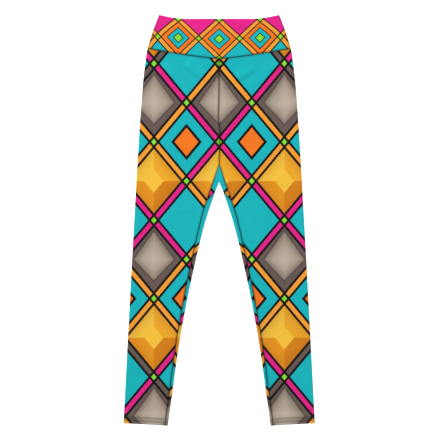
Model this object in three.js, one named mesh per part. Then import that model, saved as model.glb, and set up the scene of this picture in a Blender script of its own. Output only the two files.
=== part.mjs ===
// Full-length leggings with a high, wide waistband, laid out flat with the front face up.
// Each leg is one panel of stretch cloth. It runs from the centre front seam round the outer fold to the
// centre back seam, and below the crotch it wraps the inner fold and meets itself on top, at the inseam.
// A diamond gusset folds through the crotch, and the waistband is a front and a back piece of doubled
// cloth that meet at the side folds.
//
// Units are millimetres. +Z is up, +Y runs from the hems to the waist, and +X is the wearer's left.
// The origin is under the middle of the garment, on the surface that it lies on.

import * as THREE from "three";

// Thickness of the cloth, and of the places where it is doubled
const WALL = 1.0;
const BAND_WALL = 1.8;
const HEM_WALL = 1.6;
const HEM_DEPTH = 27;
const HEM_STEP = 3;

// Gaps between the two layers, in the middle and inside a folded edge, and between pieces at a seam
const LAYER_GAP = 0.4;
const FOLD_GAP = 2.0;
const BAND_FOLD_GAP = 0.8;
const SEAM_GAP = 0.3;
const PUFF_WIDTH = 18;

// Heights along the garment
const WAIST_MIDDLE = 463;
const WAIST_CORNER = 472;
const BAND_SEAM_MIDDLE = 371.3;
const BAND_SEAM_SIDE = 395;
const BAND_SEAM_BACK_MIDDLE = 380;
const FRONT_TIP = 128;
const BACK_TIP = 118;
const SIDE_TIP = 46;
const HEM_OUTER = -466.4;
const HEM_INNER = -472;

// Outer edge of the flat garment, from the centre line
const OUTER_EDGE = [
  { y: -472, half: 220.4 },
  { y: -184, half: 205.4 },
  { y: 0, half: 195.3 },
  { y: 185, half: 184.7 },
  { y: 313, half: 175.5 },
  { y: 373, half: 168.4 },
  { y: 395, half: 164.8 },
  { y: 438, half: 151.6 },
  { y: 472, half: 138.5 },
];

// Inner edge of a leg, from the centre line
const INNER_EDGE = [
  { y: -472, half: 118.0 },
  { y: -404, half: 108.5 },
  { y: -294, half: 93.2 },
  { y: -184, half: 73.6 },
  { y: -73, half: 49.5 },
  { y: 0, half: 30.7 },
  { y: 56, half: 12.2 },
  { y: 87.4, half: 0.6 },
];

// The waist edge is level in the middle and climbs to its corners. The waistband's seams climb to the sides.
const WAIST_LEVEL_HALF = 72;
const WAIST_CORNER_HALF = 137;
const WAIST_CURVE = 1.9;
const BAND_SEAM_CURVE = 1.3;

// How far the inseam lies on top of a leg, in from its inner edge
const INSEAM_SET = [
  { y: -472, set: 6.5 },
  { y: -294, set: 7.6 },
  { y: -73, set: 9.5 },
  { y: 0, set: 11.3 },
  { y: 30, set: 12.0 },
];

// The stretch of the leg's front edge that turns from the inseam into the gusset's seam
const INSEAM_TURN = { from: -10, to: 50 };

// The crotch point is rounded, and the gusset's seams run straight from its tips at these slopes
const CROTCH_RADIUS = 1.2;
const CROTCH_CENTRE = 87.0;
const CROTCH_ANGLE = 0.36;
const FRONT_SLOPE = 0.345;
const BACK_SLOPE = 0.328;
const TIP_WIDTH = 1.4;

// The centre front seam wanders a little where the rise is slack
const FRONT_SEAM = [
  { y: 140, x: 0 },
  { y: 172, x: 1.2 },
  { y: 205, x: 2.0 },
  { y: 236, x: -1.6 },
  { y: 275, x: -0.4 },
  { y: 372, x: 0 },
];

// The largest soft creases in the upper layer, each from one end to the other
const CREASES = [
  { x0: -135, y0: 352, x1: -62, y1: 268, rise: 1.5, width: 17 },
  { x0: 128, y0: 356, x1: 48, y1: 292, rise: 1.3, width: 15 },
  { x0: -30, y0: 322, x1: -12, y1: 246, rise: 1.1, width: 10 },
  { x0: -22, y0: 138, x1: -118, y1: 188, rise: 1.6, width: 14 },
  { x0: 24, y0: 132, x1: 132, y1: 164, rise: 1.4, width: 15 },
  { x0: -38, y0: 96, x1: -128, y1: 82, rise: 1.2, width: 13 },
  { x0: 44, y0: 78, x1: 146, y1: 98, rise: 1.3, width: 14 },
  { x0: -84, y0: -116, x1: -176, y1: -92, rise: 1.2, width: 16 },
  { x0: 78, y0: -84, x1: 168, y1: -118, rise: 1.3, width: 17 },
  { x0: 112, y0: -318, x1: 190, y1: -296, rise: 1.0, width: 14 },
  { x0: -120, y0: -352, x1: -198, y1: -330, rise: 1.1, width: 13 },
];

// A crease fades in over this many of its widths.
const CREASE_FADE = 1.5;

const CLOTH = {
  leg: new THREE.MeshStandardMaterial({ color: 0x1bb7bf, roughness: 0.62, metalness: 0 }),
  band: new THREE.MeshStandardMaterial({ color: 0xf58220, roughness: 0.62, metalness: 0 }),
  gusset: new THREE.MeshStandardMaterial({ color: 0x1bb7bf, roughness: 0.62, metalness: 0 }),
};

const clamp01 = (value) => Math.min(1, Math.max(0, value));
const mix = (a, b, share) => a + (b - a) * share;
const smooth = (from, to, value) => {
  const share = clamp01((value - from) / (to - from));
  return share * share * (3 - 2 * share);
};

// A smooth curve through a table's rows, by cubic pieces whose slopes are those of the neighbours.
function curveThrough(rows, column) {
  const slopes = rows.map((row, i) => {
    const before = rows[Math.max(0, i - 1)];
    const after = rows[Math.min(rows.length - 1, i + 1)];
    return (after[column] - before[column]) / (after.y - before.y);
  });
  return (y) => {
    let i = 0;
    while (i < rows.length - 2 && y > rows[i + 1].y) i++;
    const span = rows[i + 1].y - rows[i].y;
    const t = clamp01((y - rows[i].y) / span);
    const a = rows[i][column];
    const b = rows[i + 1][column];
    const bend = t * (1 - t) * span;
    return mix(a, b, t * t * (3 - 2 * t)) + bend * ((1 - t) * slopes[i] - t * slopes[i + 1]);
  };
}

const outerHalf = curveThrough(OUTER_EDGE, "half");
const innerHalf = curveThrough(INNER_EDGE, "half");
const inseamSet = curveThrough(INSEAM_SET, "set");
const frontSeamX = curveThrough(FRONT_SEAM, "x");

// The hem is turned up once, so its cloth is double.
const wallAt = (y) => mix(HEM_WALL, WALL, smooth(HEM_INNER + HEM_DEPTH, HEM_INNER + HEM_DEPTH + HEM_STEP, y));
const foldRadius = (wall) => (wall + FOLD_GAP) / 2;

// Edges of the cloth's middle surface
const outerX = (y, wall) => outerHalf(y) - wall / 2;
const innerX = (y, wall) => innerHalf(y) + wall / 2;

// Seams of the waistband and of the legs
const bandShare = (x) => Math.pow(clamp01(Math.abs(x) / outerHalf(BAND_SEAM_SIDE)), BAND_SEAM_CURVE);
const bandSeamFront = (x) => mix(BAND_SEAM_MIDDLE, BAND_SEAM_SIDE, bandShare(x));
const bandSeamBack = (x) => mix(BAND_SEAM_BACK_MIDDLE, BAND_SEAM_SIDE, bandShare(x));
const between = (x, inner, outer) => clamp01((Math.abs(x) - inner) / (outer - inner));
const waistEdge = (x) =>
  mix(WAIST_MIDDLE, WAIST_CORNER, Math.pow(between(x, WAIST_LEVEL_HALF, WAIST_CORNER_HALF), WAIST_CURVE));
const hemLine = (x) => mix(HEM_INNER, HEM_OUTER, between(x, innerHalf(HEM_INNER), outerHalf(HEM_INNER)));

// Where the front edge of a leg's panel lies on top: the gusset's seam, and the inseam below it.
function frontSeamOnLeg(y) {
  const gussetSeam = FRONT_SLOPE * (FRONT_TIP - y);
  const inseam = innerHalf(y) + inseamSet(y);
  return mix(inseam, gussetSeam, smooth(INSEAM_TURN.from, INSEAM_TURN.to, y));
}

// Distance from the inner folds and the crotch point, in plan
function fromCrotch(x, y) {
  if (y > CROTCH_CENTRE + CROTCH_RADIUS * Math.sin(CROTCH_ANGLE)) {
    return Math.hypot(x, y - CROTCH_CENTRE) - CROTCH_RADIUS;
  }
  return Math.abs(x) - innerX(y, wallAt(y));
}

// How much of the height of a folded edge is left at a distance from it
const puff = (distance, radius) => Math.exp(-Math.pow(Math.max(0, distance - radius) / PUFF_WIDTH, 2));

function creaseRise(x, y) {
  let rise = 0;
  for (const c of CREASES) {
    const dx = c.x1 - c.x0;
    const dy = c.y1 - c.y0;
    const length = Math.hypot(dx, dy);
    const along = ((x - c.x0) * dx + (y - c.y0) * dy) / length;
    const across = ((x - c.x0) * dy - (y - c.y0) * dx) / length;
    const fade = (distance) => smooth(-c.width, c.width * CREASE_FADE, distance);
    rise += c.rise * fade(along) * fade(length - along) * Math.exp(-Math.pow(across / c.width, 2));
  }
  return rise;
}

// Below the waistband's seam the upper layer climbs to the level of the doubled cloth.
const BAND_RAMP = 34;

// Height of the upper layer's middle surface, at a distance x from the centre line on the left (side 1) or
// the right (side -1). It rises to the folded edges and to the waistband's seam.
function upperHeight(x, y, side) {
  const wall = wallAt(y);
  const radius = foldRadius(wall);
  const edge = clamp01(puff(outerX(y, wall) - Math.abs(x), radius) + puff(fromCrotch(x, y), radius));
  const bandLevel = (BAND_WALL / 2 + BAND_WALL) - (WALL / 2 + WALL);
  const toBand = bandLevel * smooth(BAND_RAMP, 0, bandSeamFront(x) - y) * (1 - edge);
  const creases = creaseRise(side * x, y) * (1 - edge);
  return wall / 2 + wall + mix(LAYER_GAP, FOLD_GAP, edge) + toBand + creases;
}

// Direction of a row of points at one of them. At an end it is that of a curve through three points.
function direction(line, k) {
  const last = line.length - 1;
  const result = new THREE.Vector3();
  if (k > 0 && k < last) return result.subVectors(line[k + 1], line[k - 1]);
  const [end, near, far] = k === 0 ? [line[0], line[1], line[2]] : [line[last], line[last - 1], line[last - 2]];
  result.addScaledVector(near, 4).addScaledVector(end, -3).sub(far);
  return k === 0 ? result : result.negate();
}

// A closed wall round a grid of middle points, half of its thickness to each side. The grid's rows run
// down the garment and its columns round it. It is flipped where that makes the outer face look inwards.
// In a level row the thickness is measured in the level section, so that seam edges stay in line.
function wallSolid(points, walls, { flipped, isLevel }) {
  const rows = points.length;
  const columns = points[0].length;
  const positions = [];
  const normals = points.map((row, i) =>
    row.map((_, j) => {
      const along = direction(row, j);
      const down = direction(points.map((other) => other[j]), i);
      const normal = down.cross(along);
      if (isLevel(i)) normal.y = 0;
      return normal.normalize();
    })
  );
  const side = flipped ? -1 : 1;
  for (const face of [side, -side]) {
    points.forEach((row, i) =>
      row.forEach((p, j) => {
        const shift = (face * walls[i][j]) / 2;
        positions.push(p.x + normals[i][j].x * shift);
        positions.push(p.y + normals[i][j].y * shift);
        positions.push(p.z + normals[i][j].z * shift);
      })
    );
  }
  const index = [];
  const quad = (a, b, c, d) => (flipped ? index.push(a, c, b, a, d, c) : index.push(a, b, c, a, c, d));
  const outer = (i, j) => i * columns + j;
  const inner = (i, j) => rows * columns + i * columns + j;
  for (let i = 0; i < rows - 1; i++) {
    for (let j = 0; j < columns - 1; j++) {
      quad(outer(i, j), outer(i + 1, j), outer(i + 1, j + 1), outer(i, j + 1));
      quad(inner(i, j), inner(i, j + 1), inner(i + 1, j + 1), inner(i + 1, j));
    }
  }
  const lastRow = rows - 1;
  const lastColumn = columns - 1;
  for (let j = 0; j < lastColumn; j++) {
    quad(outer(0, j), outer(0, j + 1), inner(0, j + 1), inner(0, j));
    quad(outer(lastRow, j), inner(lastRow, j), inner(lastRow, j + 1), outer(lastRow, j + 1));
  }
  for (let i = 0; i < lastRow; i++) {
    quad(outer(i, 0), inner(i, 0), inner(i + 1, 0), outer(i + 1, 0));
    quad(outer(i, lastColumn), outer(i + 1, lastColumn), inner(i + 1, lastColumn), inner(i, lastColumn));
  }
  const geometry = new THREE.BufferGeometry();
  geometry.setAttribute("position", new THREE.Float32BufferAttribute(positions, 3));
  geometry.setIndex(index);
  geometry.computeVertexNormals();
  return geometry;
}

// Shares from 0 to 1, evenly spaced, and crowding a little towards both ends
const even = (count) => Array.from({ length: count + 1 }, (_, k) => k / count);
const crowded = (count) => even(count).map((share) => mix(share, 0.5 - 0.5 * Math.cos(Math.PI * share), 0.5));

// A walk round a leg's inner fold. The distance is 0 at the edge, above 0 on top and below 0 underneath.
function roundInnerFold(distance, y, side) {
  const wall = wallAt(y);
  const radius = foldRadius(wall);
  const quarter = (Math.PI / 2) * radius;
  const edge = innerX(y, wall);
  if (distance > quarter) {
    const x = edge + radius + distance - quarter;
    return { x, z: upperHeight(x, y, side) };
  }
  if (distance < -quarter) return { x: edge + radius - distance - quarter, z: wall / 2 };
  const angle = distance / radius;
  return { x: edge + radius - radius * Math.cos(angle), z: wall / 2 + radius + radius * Math.sin(angle) };
}

// That walk's distance to a point of the upper or the lower layer
const topWalk = (x, y) => x - innerX(y, wallAt(y)) + foldRadius(wallAt(y)) * (Math.PI / 2 - 1);
const underWalk = (x, y) => -topWalk(x, y);

// The gusset's back seam, as a walk from the inner fold: from under the crotch round to its side tip on top
const CROTCH_SIDE = CROTCH_CENTRE + CROTCH_RADIUS * Math.sin(CROTCH_ANGLE);
const backSeamX = (y) => BACK_SLOPE * (BACK_TIP - y);
const gussetBackWalk = (y) =>
  mix(
    topWalk(frontSeamOnLeg(SIDE_TIP), SIDE_TIP) - TIP_WIDTH,
    underWalk(backSeamX(CROTCH_SIDE), CROTCH_SIDE),
    (y - SIDE_TIP) / (CROTCH_SIDE - SIDE_TIP)
  );

// Places along a walk, evenly spaced between its knots
function stepsBetween(knots, counts) {
  const places = [knots[0]];
  counts.forEach((count, k) => {
    for (const share of even(count).slice(1)) places.push(mix(knots[k], knots[k + 1], share));
  });
  return places;
}

const FRONT_STEPS = 14;
const FOLD_STEPS = 5;
const BACK_STEPS = 6;
const TAIL_STEPS = [2, FOLD_STEPS, 2];
const TAIL_LENGTH = 14;
const TAIL_FOLD_REACH = 6;
const SEAM_REACH = 1;

// One section of a leg at a height, as middle points from the panel's front edge to its back edge
function legSection(y, side) {
  const wall = wallAt(y);
  const radius = foldRadius(wall);
  const outer = outerX(y, wall) - radius;
  const front = (y > FRONT_TIP ? side * frontSeamX(y) : frontSeamOnLeg(y)) + SEAM_GAP / 2;
  const points = [];
  for (const share of crowded(FRONT_STEPS)) {
    const x = mix(front, outer, share);
    points.push({ x, z: upperHeight(x, y, side), under: 0 });
  }
  for (const share of even(FOLD_STEPS).slice(1)) {
    const angle = Math.PI * share;
    const x = outer + radius * Math.sin(angle);
    points.push({ x, z: wall / 2 + radius * (1 + Math.cos(angle)), under: share });
  }
  if (y > CROTCH_SIDE) {
    const end = Math.max(0, backSeamX(Math.min(y, BACK_TIP))) + SEAM_GAP / 2;
    for (const share of even(BACK_STEPS).slice(1)) {
      points.push({ x: mix(outer, end + TAIL_LENGTH, share), z: wall / 2, under: 1 });
    }
    const knots = [end + TAIL_LENGTH, end + TAIL_FOLD_REACH, end + SEAM_REACH, end];
    for (const x of stepsBetween(knots, TAIL_STEPS).slice(1)) points.push({ x, z: wall / 2, under: 1 });
    return points;
  }
  const inseamEnd = topWalk(frontSeamOnLeg(y) - SEAM_GAP / 2, y);
  const endWalk = y > SIDE_TIP - 1 ? gussetBackWalk(y) - SEAM_GAP / 2 : inseamEnd;
  const quarter = (Math.PI / 2) * radius;
  const tailStart = Math.min(-2 * radius, endWalk - TAIL_LENGTH);
  const foldStart = Math.min(-quarter, endWalk - TAIL_FOLD_REACH);
  const foldEnd = Math.min(quarter, endWalk - SEAM_REACH);
  const tailX = roundInnerFold(tailStart, y, side).x;
  for (const share of even(BACK_STEPS).slice(1)) {
    points.push({ x: mix(outer, tailX, share), z: wall / 2, under: 1 });
  }
  for (const walk of stepsBetween([tailStart, foldStart, foldEnd, endWalk], TAIL_STEPS).slice(1)) {
    points.push({ ...roundInnerFold(walk, y, side), under: walk > 0 ? 0 : 1 });
  }
  return points;
}

// Heights of a leg's sections, close together where its shape changes. Beside the gusset the legs and
// the gusset's ribs share the same levels, closest where the back seam rounds the inner fold.
const BAND_SEAM_LEVEL = 383;
const HEM_LEVEL = (HEM_OUTER + HEM_INNER) / 2;
const HEM_FOLD = HEM_INNER + HEM_DEPTH;
const FOLD_PASS = { from: 75, to: 62 };
const BELOW_RAMP = 340;
const BELOW_GUSSET = 40;
const GUSSET_LEVELS = stepsBetween([CROTCH_SIDE, FOLD_PASS.from, FOLD_PASS.to, SIDE_TIP], [2, 10, 3]);
const LEG_LEVELS = [
  ...stepsBetween([BAND_SEAM_LEVEL, BELOW_RAMP, FRONT_TIP, BACK_TIP], [3, 8, 1]),
  mix(BACK_TIP, CROTCH_SIDE, 0.5),
  ...GUSSET_LEVELS,
  ...stepsBetween([BELOW_GUSSET, HEM_FOLD + HEM_STEP, HEM_FOLD, HEM_LEVEL], [12, 1, 1]),
];

// How far a level section is moved along the garment so that its end follows the slanting seam or hem
const SHIFT_BELOW_SEAM = 290;
const SHIFT_ABOVE_HEM = -400;
const SHIFT_PASSES = 3;
const isShifted = (level) => level > SHIFT_BELOW_SEAM || level < SHIFT_ABOVE_HEM;

function alongShift(x, level, under) {
  const seam = mix(bandSeamFront(x), bandSeamBack(x), under) - SEAM_GAP / 2 - BAND_SEAM_LEVEL;
  const hem = hemLine(x) - HEM_LEVEL;
  const toSeam = smooth(SHIFT_BELOW_SEAM, BAND_SEAM_LEVEL, level);
  return seam * toSeam + hem * smooth(SHIFT_ABOVE_HEM, HEM_LEVEL, level);
}

function legPanel(side) {
  const points = LEG_LEVELS.map((level) =>
    legSection(level, side).map((flat, column) => {
      let place = flat;
      let y = level;
      for (let pass = 0; pass < SHIFT_PASSES && isShifted(level); pass++) {
        y = level + alongShift(place.x, level, place.under);
        place = legSection(y, side)[column];
      }
      return new THREE.Vector3(side * place.x, y, place.z);
    })
  );
  const walls = points.map((row) => row.map((p) => wallAt(p.y)));
  return wallSolid(points, walls, { flipped: side < 0, isLevel: () => true });
}

// The gusset's ribs run from its front seam over the fold to its back seam. On each side they are level
// below the crotch point, and above it they fan out round that point.
const FAN_RIBS = 5;
const RIB_STEPS = [4, FOLD_STEPS, 4];
const RIB_FOLD_REACH = 4;
const RIB_FOLD_SHARE = { start: 0.75, end: 0.3 };

function levelRib(y, side) {
  const from = topWalk(frontSeamOnLeg(y) - SEAM_GAP / 2, y);
  const to = gussetBackWalk(y) + SEAM_GAP / 2;
  const quarter = (Math.PI / 2) * foldRadius(WALL);
  const foldStart = Math.min(mix(to, from, RIB_FOLD_SHARE.start), Math.max(quarter, to + RIB_FOLD_REACH));
  const foldEnd = Math.min(mix(to, from, RIB_FOLD_SHARE.end), Math.max(-quarter, to + SEAM_REACH));
  return stepsBetween([from, foldStart, foldEnd, to], RIB_STEPS).map((walk) => {
    const { x, z } = roundInnerFold(walk, y, side);
    return new THREE.Vector3(side * x, y, z);
  });
}

function fanRib(share, side) {
  const radius = foldRadius(WALL);
  const turn = (share * Math.PI) / 2;
  const place = mix(CROTCH_ANGLE, Math.PI / 2, share);
  const ahead = new THREE.Vector2(Math.cos(turn), Math.sin(turn));
  const edge = new THREE.Vector2(Math.cos(place), Math.sin(place)).multiplyScalar(CROTCH_RADIUS);
  edge.y += CROTCH_CENTRE;
  const reach = (tip, slope) =>
    (slope * (tip - edge.y) - SEAM_GAP / 2 - edge.x) / (ahead.x + slope * ahead.y);
  const point = (distance, height) => {
    const p = edge.clone().addScaledVector(ahead, distance);
    return new THREE.Vector3(side * p.x, p.y, height ?? upperHeight(p.x, p.y, side));
  };
  const front = reach(FRONT_TIP, FRONT_SLOPE);
  const back = reach(BACK_TIP, BACK_SLOPE);
  const [topSteps, foldSteps, underSteps] = RIB_STEPS;
  return [
    ...even(topSteps).map((s) => point(mix(front, radius, s))),
    ...even(foldSteps).slice(1).map((s) => {
      const angle = Math.PI * s;
      return point(radius - radius * Math.sin(angle), WALL / 2 + radius + radius * Math.cos(angle));
    }),
    ...even(underSteps).slice(1).map((s) => point(mix(radius, back, s), WALL / 2)),
  ];
}

function gussetDiamond() {
  const levels = GUSSET_LEVELS.map((level) => Math.max(level, SIDE_TIP + SEAM_GAP)).reverse();
  const half = (side) => [
    ...levels.map((level) => levelRib(level, side)),
    ...even(FAN_RIBS).slice(1).map((share) => fanRib(share, side)),
  ];
  const ribs = [...half(-1), ...half(1).slice(0, -1).reverse()];
  const isLevel = (row) => row < levels.length || row >= ribs.length - levels.length;
  return wallSolid(ribs, ribs.map((rib) => rib.map(() => WALL)), { flipped: true, isLevel });
}

// The waistband's front and back pieces, whose ends curl to meet at the side folds.
const BAND_STEPS = 22;
const BAND_CURL_STEPS = 3;
const BAND_ROWS = 4;
const BAND_LOWER = BAND_WALL / 2;
const BAND_UPPER = BAND_WALL / 2 + BAND_WALL + LAYER_GAP;
const BAND_FOLD = (BAND_WALL + BAND_FOLD_GAP) / 2;

function bandPiece(isFront) {
  const seam = isFront ? bandSeamFront : bandSeamBack;
  const curl = Math.PI / 2 - SEAM_GAP / 2 / BAND_FOLD;
  const middle = BAND_LOWER + BAND_FOLD;
  const rows = even(BAND_ROWS).map((rowShare) => {
    const place = (x) => mix(waistEdge(x), seam(x) + SEAM_GAP / 2, rowShare);
    const sideY = place(outerHalf(mix(WAIST_CORNER, BAND_SEAM_SIDE, rowShare)));
    const end = outerHalf(sideY) - BAND_WALL / 2 - BAND_FOLD;
    const curled = even(BAND_CURL_STEPS).slice(1).map((share) => curl * share);
    const half = crowded(BAND_STEPS).map((share) => {
      const x = mix(-end, end, share);
      const lift = puff(end + BAND_FOLD - Math.abs(x), BAND_FOLD);
      const top = mix(BAND_UPPER, middle + BAND_FOLD, lift);
      return new THREE.Vector3(x, place(x), isFront ? top : BAND_LOWER);
    });
    const rim = (sign) =>
      curled.map((angle) => {
        const height = BAND_FOLD * Math.cos(angle);
        const x = sign * (end + BAND_FOLD * Math.sin(angle));
        return new THREE.Vector3(x, place(x), isFront ? middle + height : middle - height);
      });
    return [...rim(-1).reverse(), ...half, ...rim(1)];
  });
  return wallSolid(rows, rows.map((row) => row.map(() => BAND_WALL)), { flipped: !isFront, isLevel: () => true });
}

const leggings = new THREE.Group();
const pieces = [
  { name: "leg_left", geometry: legPanel(1), material: CLOTH.leg },
  { name: "leg_right", geometry: legPanel(-1), material: CLOTH.leg },
  { name: "gusset", geometry: gussetDiamond(), material: CLOTH.gusset },
  { name: "waistband_front", geometry: bandPiece(true), material: CLOTH.band },
  { name: "waistband_back", geometry: bandPiece(false), material: CLOTH.band },
];
for (const { name, geometry, material } of pieces) {
  const mesh = new THREE.Mesh(geometry, material);
  mesh.name = name;
  leggings.add(mesh);
}

export default leggings;
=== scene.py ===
"""Looks of a pair of full-length printed leggings, laid out flat and seen from straight above.

Sizes are in millimetres, as in the part's own drawing, and become metres where a mesh or a light is placed.
+Y runs from the hems to the waist, +X is the wearer's left and +Z is up.
"""

import math
from collections import namedtuple
from functools import partial

import bpy
import numpy as np
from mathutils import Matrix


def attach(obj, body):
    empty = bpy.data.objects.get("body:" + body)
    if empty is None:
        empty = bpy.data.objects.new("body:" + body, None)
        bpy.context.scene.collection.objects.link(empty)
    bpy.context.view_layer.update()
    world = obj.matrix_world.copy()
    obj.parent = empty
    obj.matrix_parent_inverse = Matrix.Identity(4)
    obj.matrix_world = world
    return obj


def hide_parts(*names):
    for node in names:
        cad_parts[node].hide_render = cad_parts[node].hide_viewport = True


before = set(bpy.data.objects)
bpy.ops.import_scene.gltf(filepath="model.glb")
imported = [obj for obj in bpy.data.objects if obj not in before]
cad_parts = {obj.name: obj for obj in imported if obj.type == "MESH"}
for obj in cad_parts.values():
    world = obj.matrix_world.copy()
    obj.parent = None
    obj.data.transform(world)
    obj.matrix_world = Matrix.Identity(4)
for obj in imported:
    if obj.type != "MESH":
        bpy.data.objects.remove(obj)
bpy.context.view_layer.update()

MM = 0.001

# How the photograph is framed: its side in pixels, the size of a pixel, and where the origin falls in it
PHOTO_SIDE = 440
PIXEL = 2.3
ORIGIN_PIXEL = (219.15, 220.25)
CAMERA_HEIGHT = 2600
SENSOR_WIDTH = 36

# Thickness of the part's walls, and the gaps between its layers
WALL = 1.0
BAND_WALL = 1.8
HEM_WALL = 1.6
LAYER_GAP = 0.4
FOLD_GAP = 2.0
BAND_FOLD_GAP = 0.8
PUFF_WIDTH = 18

# The real cloth, and how its layers lie where it is doubled
CLOTH = 0.8
DOUBLED = 0.95
HEM_DEPTH = 20
HEM_ZONE = 25
HEM_STEP = 9
SEAM_GAP = 0.1

# A seam's groove: how deep the cloth's edges turn in, and how wide
GROOVE_DEPTH = 0.62
GROOVE_WIDTH = 1.25
SEAM_DISTANCES = (0, 0.3, 0.6, 1.0, 1.5, 2.2, 3.2)
SEAM_REACH = SEAM_DISTANCES[-1]

# Heights along the garment
WAIST_MIDDLE = 463
WAIST_CORNER = 472
WAIST_LEVEL_HALF = 72
WAIST_CORNER_HALF = 137
WAIST_CURVE = 1.9
BAND_SEAM_MIDDLE = 371.3
BAND_SEAM_SIDE = 395
BAND_SEAM_BACK_MIDDLE = 380
BAND_SEAM_CURVE = 1.3
BAND_SEAM_LEVEL = 383
BAND_RAMP = 34
FRONT_TIP = 128
BACK_TIP = 118
SIDE_TIP = 46
HEM_OUTER = -466.4
HEM_INNER = -472
HEM_LEVEL = (HEM_OUTER + HEM_INNER) / 2

# Outer and inner edges of the flat garment, from the centre line, by height
OUTER_EDGE = [
    (-472, 220.4), (-184, 205.4), (0, 195.3), (185, 184.7), (313, 175.5),
    (373, 168.4), (395, 164.8), (438, 151.6), (472, 138.5),
]
INNER_EDGE = [
    (-472, 118.0), (-404, 108.5), (-294, 93.2), (-184, 73.6), (-73, 49.5),
    (0, 30.7), (56, 12.2), (87.4, 0.6),
]

# How far the inseam lies on top of a leg, and how the centre front seam wanders, by height
INSEAM_SET = [(-472, 6.5), (-294, 7.6), (-73, 9.5), (0, 11.3), (30, 12.0)]
INSEAM_TURN = (-10, 50)
FRONT_SEAM = [(140, 0), (172, 1.2), (205, 2.0), (236, -1.6), (275, -0.4), (372, 0)]

# The rounded crotch point and the gusset's straight seams
CROTCH_RADIUS = 1.2
CROTCH_CENTRE = 87.0
CROTCH_ANGLE = 0.36
CROTCH_SIDE = CROTCH_CENTRE + CROTCH_RADIUS * math.sin(CROTCH_ANGLE)
FRONT_SLOPE = 0.345
BACK_SLOPE = 0.328
TIP_WIDTH = 1.4

# Creases in the upper layer: x and y of both ends, rise and width. The solids have the first two lists. The
# sharp ones and the waistband's are in the cloth only, and their upper sides are wider by CREASE_LEAN.
CREASES = [
    (-135, 352, -62, 268, 1.5, 17),
    (128, 356, 48, 292, 1.3, 15),
    (-30, 322, -12, 246, 1.1, 10),
    (-22, 138, -118, 188, 1.6, 14),
    (24, 132, 132, 164, 1.4, 15),
    (-38, 96, -128, 82, 1.2, 13),
    (44, 78, 146, 98, 1.3, 14),
    (-84, -116, -176, -92, 1.2, 16),
    (78, -84, 168, -118, 1.3, 17),
    (112, -318, 190, -296, 1.0, 14),
    (-120, -352, -198, -330, 1.1, 13),
]
FINE_CREASES = [
    (10, 268, 34, 236, 0.5, 6),
    (-14, 214, -46, 196, 0.5, 7),
    (16, 150, 58, 172, 0.6, 7),
    (-16, 118, -52, 128, 0.6, 6),
    (-152, 300, -118, 318, 0.4, 7),
    (150, 262, 112, 246, 0.5, 8),
    (66, 18, 112, 8, 0.5, 8),
    (-60, 30, -118, 12, 0.5, 8),
    (-96, -212, -150, -232, 0.4, 9),
    (104, -196, 160, -178, 0.5, 9),
]
SHARP_CREASES = [
    (-78, 357, -28, 321, 2.5, 6.5),
    (32, 319, 84, 349, 2.5, 6.5),
    (4, 300, 26, 326, 1.2, 6),
    (116, 347, 156, 362, 1.3, 6),
    (-134, 348, -98, 325, 1.0, 7),
    (-44, 300, -22, 288, 0.6, 6),
    (-60, 174, -18, 152, 0.8, 7),
    (14, 150, 48, 184, 0.8, 7),
]
BAND_CREASES = [
    (-80, 452, -60, 430, 1.2, 6),
    (44, 453, 88, 439, 1.2, 6),
    (48, 415, 74, 399, 1.2, 6),
    (-46, 450, -38, 428, 0.7, 5),
    (-126, 398, -96, 424, 0.8, 7),
    (98, 446, 126, 418, 0.8, 7),
    (-30, 386, -14, 402, 0.6, 6),
]
CREASE_FADE = 1.5
CREASE_LEAN = 2.4

# Colours of the print, as they look in the photograph, in sRGB
TEAL = (0.060, 0.722, 0.755)
MAGENTA = (0.914, 0.118, 0.549)
ORANGE = (0.976, 0.478, 0.102)
AMBER = (0.976, 0.635, 0.200)
LIME = (0.541, 0.886, 0.204)
BLACK = (0.030, 0.028, 0.032)
GOLD_LIGHT = (0.988, 0.790, 0.260)
GOLD_MIDDLE = (0.965, 0.690, 0.160)
GOLD_DEEP = (0.930, 0.600, 0.110)
GOLD_DARK = (0.860, 0.520, 0.080)
GOLD_TOP = (0.990, 0.780, 0.240)
GOLD_RIM = (0.760, 0.430, 0.060)
TAUPE_LIGHT = (0.765, 0.715, 0.650)
TAUPE = (0.690, 0.635, 0.570)
TAUPE_SHADE = (0.560, 0.500, 0.440)
TAUPE_DARK = (0.410, 0.350, 0.325)
TAUPE_DEEP = (0.345, 0.290, 0.275)
UNPRINTED = (0.930, 0.925, 0.915)
THREAD = (0.150, 0.140, 0.150)
HEM_THREAD = (0.380, 0.350, 0.330)
FLOOR = (0.960, 0.960, 0.960)
WHITE = (1, 1, 1, 1)

# The studio. A lamp has a name, a place, a size and a power in watts.
FLOOR_SIZE = 12000
FLOOR_HEIGHT = -0.3
FLOOR_GLOW = 0.7
WORLD_LIGHT = 0.46
LIGHT_LEVEL = 1.25
LAMPS = (
    ("lamp_above", (-500, -800, 3200), 2200, 33),
    ("lamp_behind", (-1900, 4200, 2450), 1500, 262),
    ("lamp_right", (2400, -300, 1300), 1400, 6),
)

# The flat cut of each piece: width, length and area in square metres
LEG_CUT = (384, 887, 0.262)
GUSSET_CUT = (71, 90, 0.0021)
BAND_FRONT_CUT = (330, 203, 0.054)
BAND_BACK_CUT = (330, 179, 0.049)

# A stitch's pitch, half-length, radius and depth in the cloth: across the seams, and along the hems
SEAM_STITCH = (2.4, 0.8, 0.16, 0.0)
HEM_STITCH = (3.0, 1.3, 0.18, 0.06)

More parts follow.
